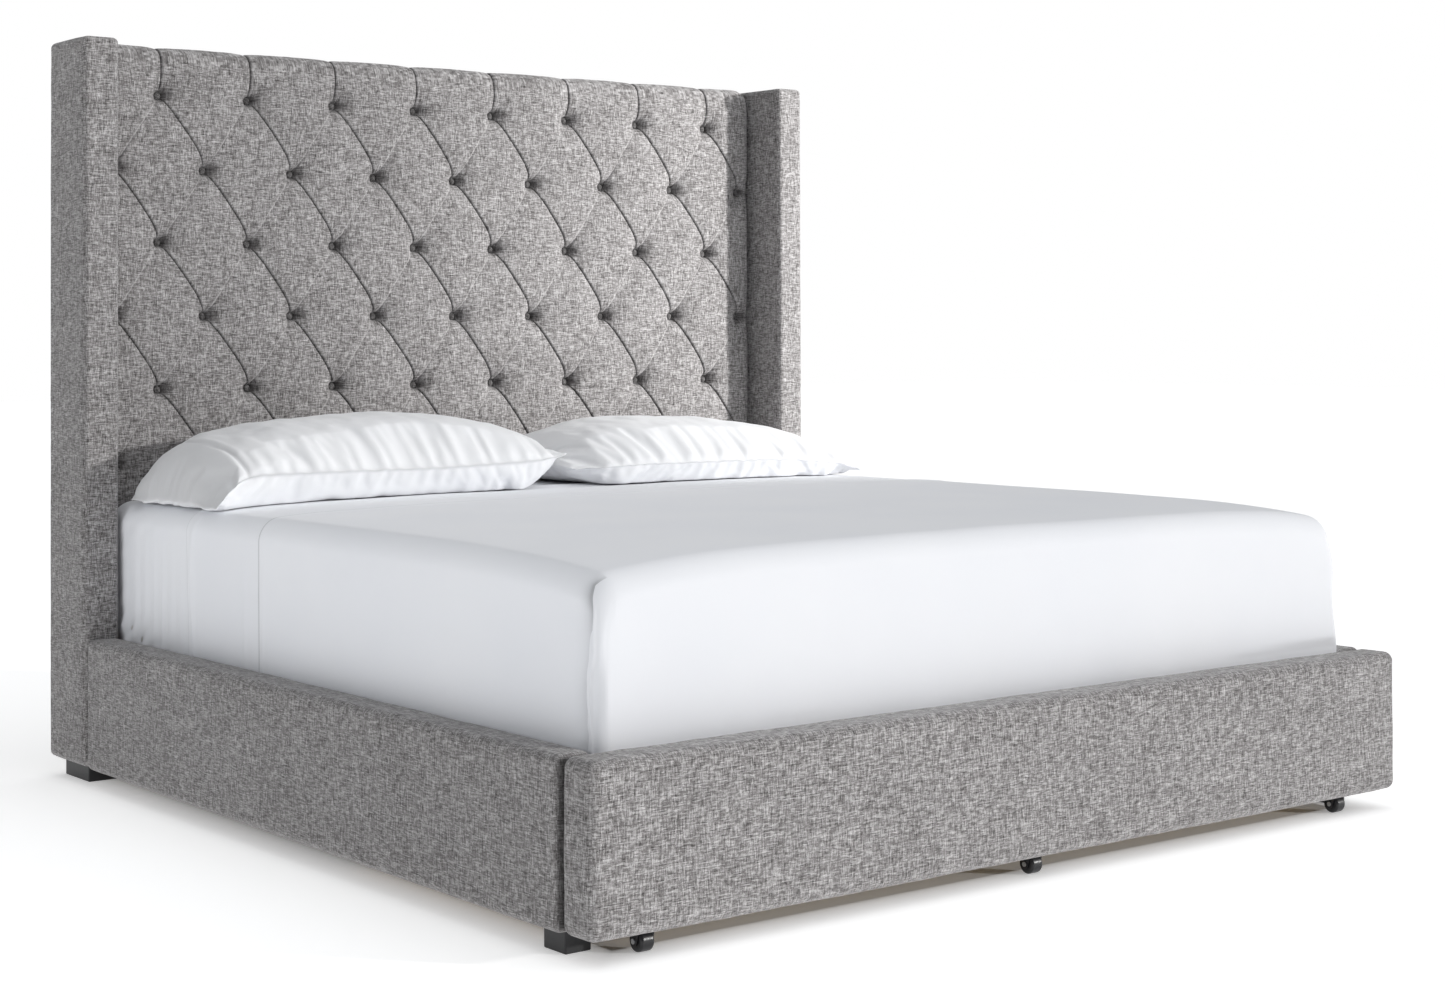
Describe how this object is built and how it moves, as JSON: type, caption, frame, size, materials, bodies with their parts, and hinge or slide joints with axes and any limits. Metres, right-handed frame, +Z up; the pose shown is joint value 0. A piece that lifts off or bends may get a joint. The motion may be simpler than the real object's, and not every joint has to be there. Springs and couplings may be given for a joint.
{
  "type": "upholstered headboard bed",
  "caption": "Made-up king bed with a tufted wing headboard, padded rails and a padded footboard that rolls out as the front of a storage drawer.",
  "frame": {"origin": "on the floor under the middle of the bed's outline", "axes": "+Z up, +Y from the foot towards the headboard, +X to the right of someone looking from the foot"},
  "size_m": [2.1, 2.22, 1.703],
  "materials": {
    "upholstery": "heathered linen weave",
    "bedding": "smooth cotton",
    "pine": "planed, unfinished",
    "plywood": "sanded",
    "black_plastic": "matte",
    "black_steel": "satin",
    "zinc_steel": "zinc plated",
    "rubber": "matte",
    "lining": "non-woven"
  },
  "bodies": {
    "bed_frame": {"beam_brackets": "zinc_steel", "bed_slats": "pine", "bracket_screws": "zinc_steel", "center_beam": "pine", "coverlet": "bedding", "cross_bearers": "pine", "drawer_bumpers": "rubber", "drawer_guides": "pine", "drawer_stop_blocks": "pine", "fitted_sheet": "bedding", "foot_crossbeam": "pine", "headboard_backing_board": "plywood", "headboard_buttons": "upholstery", "headboard_crossbars": "pine", "headboard_dust_cover": "lining", "headboard_feet": "black_plastic", "headboard_lower_panel": "upholstery", "headboard_stiles": "pine", "headboard_tufted_pad": "upholstery", "leg_glides": "black_plastic", "mattress": "bedding", "pillow_left": "bedding", "pillow_right": "bedding", "rail_hook_plates": "zinc_steel", "side_rail_battens": "pine", "side_rail_boards_left": "plywood", "side_rail_boards_right": "plywood", "side_rail_cover_left": "upholstery", "side_rail_cover_right": "upholstery", "side_rail_feet": "black_plastic", "slat_ledgers": "pine", "slat_straps": "lining", "slotted_plates": "zinc_steel", "support_legs": "black_plastic", "turned_down_sheet": "bedding", "wing_bolts": "zinc_steel", "wing_cover_left": "upholstery", "wing_cover_right": "upholstery", "wing_frame_left": "pine", "wing_frame_right": "pine"},
    "drawer": {"drawer_front_cover": "upholstery", "drawer_front_boards": "plywood", "drawer_front_battens": "pine", "drawer_bottom": "plywood", "drawer_side_left": "plywood", "drawer_side_right": "plywood", "drawer_box_front": "plywood", "drawer_box_back": "plywood", "drawer_divider": "plywood", "drawer_stop_tabs": "pine", "caster_spacers": "pine", "caster_forks": "black_steel", "caster_axles": "zinc_steel", "drawer_screws": "zinc_steel"},
    "wheel_front_center": {"caster_wheel_front_center": "black_plastic"},
    "wheel_front_left": {"caster_wheel_front_left": "black_plastic"},
    "wheel_front_right": {"caster_wheel_front_right": "black_plastic"},
    "wheel_rear_center": {"caster_wheel_rear_center": "black_plastic"},
    "wheel_rear_left": {"caster_wheel_rear_left": "black_plastic"},
    "wheel_rear_right": {"caster_wheel_rear_right": "black_plastic"}
  },
  "joints": [
    {"name": "drawer_slide", "type": "slide", "parent": "bed_frame", "child": "drawer", "axis": [0, -1, 0], "range_m": [0, 0.7]},
    {"name": "wheel_front_left_spin", "type": "hinge", "parent": "drawer", "child": "wheel_front_left", "pos_m": [-0.904, -1.054, 0.019], "axis": [1, 0, 0], "continuous": true},
    {"name": "wheel_front_center_spin", "type": "hinge", "parent": "drawer", "child": "wheel_front_center", "pos_m": [0, -1.054, 0.019], "axis": [1, 0, 0], "continuous": true},
    {"name": "wheel_front_right_spin", "type": "hinge", "parent": "drawer", "child": "wheel_front_right", "pos_m": [0.904, -1.054, 0.019], "axis": [1, 0, 0], "continuous": true},
    {"name": "wheel_rear_left_spin", "type": "hinge", "parent": "drawer", "child": "wheel_rear_left", "pos_m": [-0.86, -0.305, 0.019], "axis": [1, 0, 0], "continuous": true},
    {"name": "wheel_rear_center_spin", "type": "hinge", "parent": "drawer", "child": "wheel_rear_center", "pos_m": [0, -0.305, 0.019], "axis": [1, 0, 0], "continuous": true},
    {"name": "wheel_rear_right_spin", "type": "hinge", "parent": "drawer", "child": "wheel_rear_right", "pos_m": [0.86, -0.305, 0.019], "axis": [1, 0, 0], "continuous": true}
  ],
  "couplings": [
    {"joint": "wheel_front_left_spin", "follows": "drawer_slide", "rad_per_m": 52.632},
    {"joint": "wheel_front_center_spin", "follows": "drawer_slide", "rad_per_m": 52.632},
    {"joint": "wheel_front_right_spin", "follows": "drawer_slide", "rad_per_m": 52.632},
    {"joint": "wheel_rear_left_spin", "follows": "drawer_slide", "rad_per_m": 52.632},
    {"joint": "wheel_rear_center_spin", "follows": "drawer_slide", "rad_per_m": 52.632},
    {"joint": "wheel_rear_right_spin", "follows": "drawer_slide", "rad_per_m": 52.632}
  ]
}
